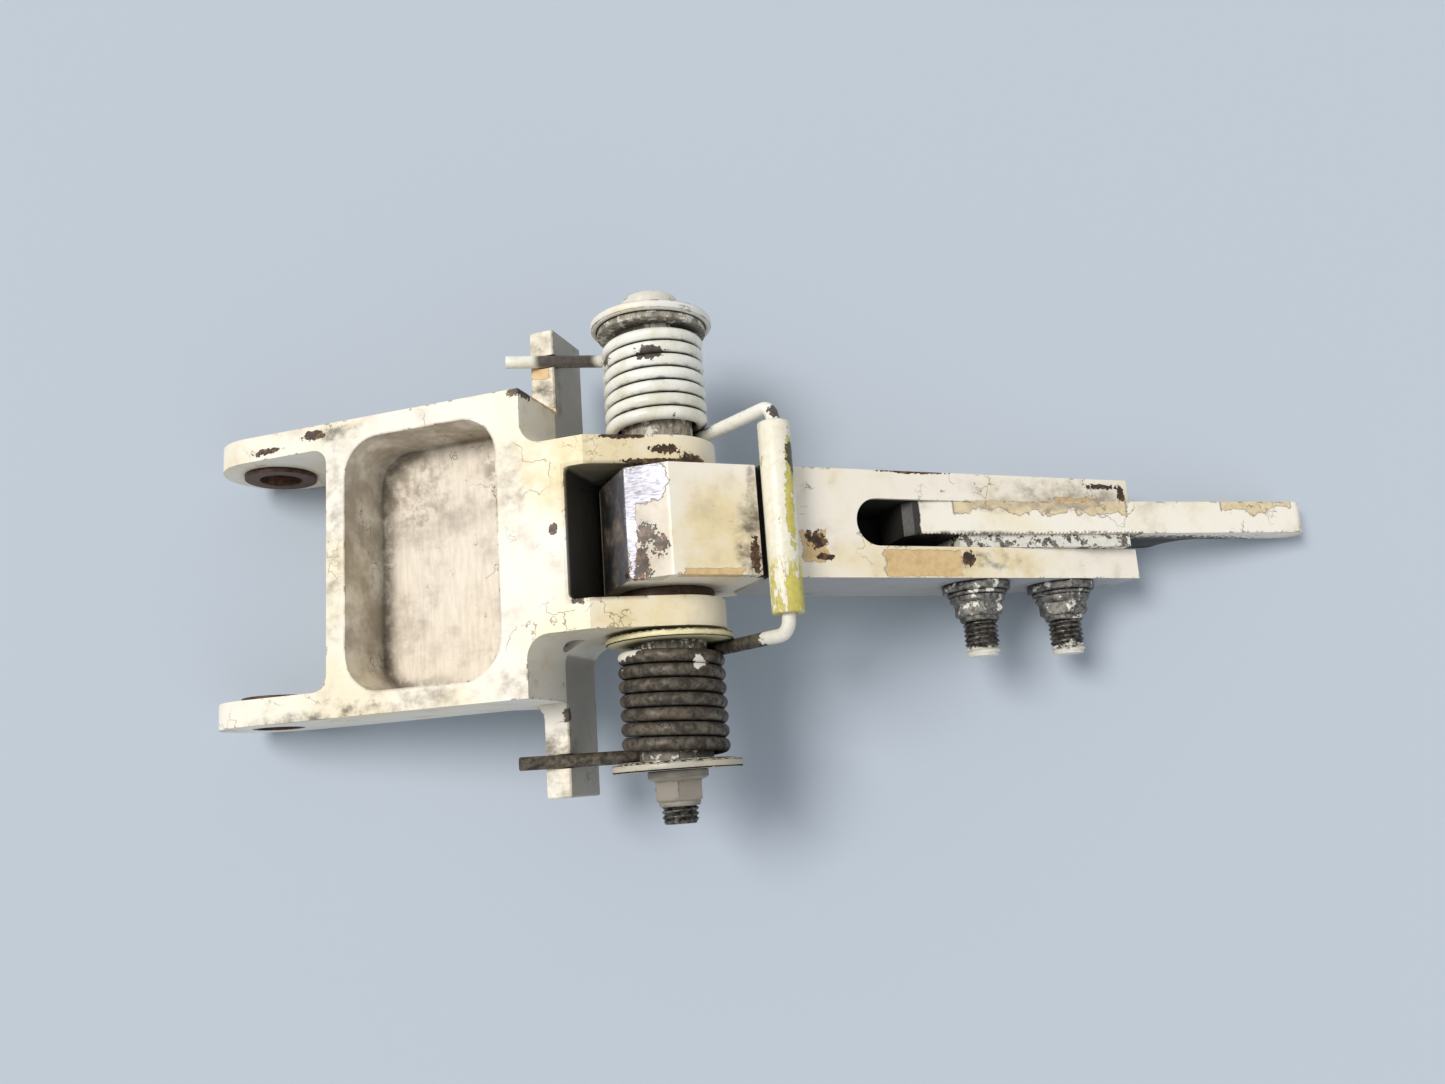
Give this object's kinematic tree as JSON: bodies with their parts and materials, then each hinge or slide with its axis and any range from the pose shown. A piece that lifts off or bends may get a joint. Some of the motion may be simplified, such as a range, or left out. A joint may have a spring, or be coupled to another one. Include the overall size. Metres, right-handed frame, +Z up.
{
  "type": "spring hinge lever for a door closer",
  "caption": "Spring-loaded door closer lever: eared bracket, forked pivot with torsion springs, and an arm with a serrated adjustable blade.",
  "frame": {"origin": "middle of the bore through the bracket's two ears", "axes": "+Y along the bolts towards the pivot bolt's head, +X from the ears towards the blade's nose, +Z up as it stands on its ears and nose"},
  "size_m": [0.2163, 0.0962, 0.0486],
  "materials": {
    "bracket_paint": "worn cream-white paint on machined aluminium",
    "arm_paint": "worn cream-white paint on machined aluminium, chipped to primer and bare metal",
    "blade_paint": "white paint, worn through along the edges",
    "head_spring_paint": "white painted spring wire",
    "nut_spring_steel": "bare, grimy and rusty spring wire",
    "yellow_tube": "yellow sleeve mostly painted over in white",
    "washer_cream": "yellowed cream paint",
    "hardware_white": "white painted steel",
    "dark_bronze": "oxidised bronze",
    "spool_metal": "dull machined metal",
    "plate_steel": "grimy serrated steel",
    "clamp_steel": "grimy plated steel"
  },
  "bodies": {
    "bracket": {"mount_bracket": "bracket_paint", "head_side_ear_bushing": "dark_bronze", "nut_side_ear_bushing": "dark_bronze", "head_side_fork_bushing": "dark_bronze", "nut_side_fork_bushing": "dark_bronze", "pivot_bolt": "hardware_white", "cap_washer": "hardware_white", "head_side_spool": "spool_metal", "nut_side_spool": "spool_metal", "inner_spring_washer": "washer_cream", "end_washer": "hardware_white", "pivot_nut": "hardware_white", "head_side_thrust_washer": "dark_bronze", "nut_side_thrust_washer": "dark_bronze", "head_side_spring": "head_spring_paint", "nut_side_spring": "nut_spring_steel"},
    "arm": {"lever_arm": "arm_paint", "hub_bushing": "dark_bronze", "serrated_plate": "plate_steel", "clamp_bolts": "clamp_steel", "clamp_wide_washers": "clamp_steel", "clamp_thin_washers": "clamp_steel", "clamp_nuts": "clamp_steel"},
    "blade": {"adjuster_blade": "blade_paint"},
    "tube": {"bridge_tube": "yellow_tube"}
  },
  "joints": [
    {"name": "arm_pivot", "type": "hinge", "parent": "bracket", "child": "arm", "pos_m": [0.07558, 0, 0.01947], "axis": [0, -1, 0], "range_deg": [0, 38], "stiffness_Nm_per_rad": 1.75, "springref_deg": -20.05, "deforming": ["head_side_spring", "nut_side_spring"]},
    {"name": "blade_adjust", "type": "slide", "parent": "arm", "child": "blade", "axis": [0.964, 0, -0.2661], "range_m": [-0.0024, 0.0024]},
    {"name": "tube_roll", "type": "hinge", "parent": "arm", "child": "tube", "pos_m": [0.09586, 0, 0.03283], "axis": [0, 1, 0], "continuous": true}
  ]
}
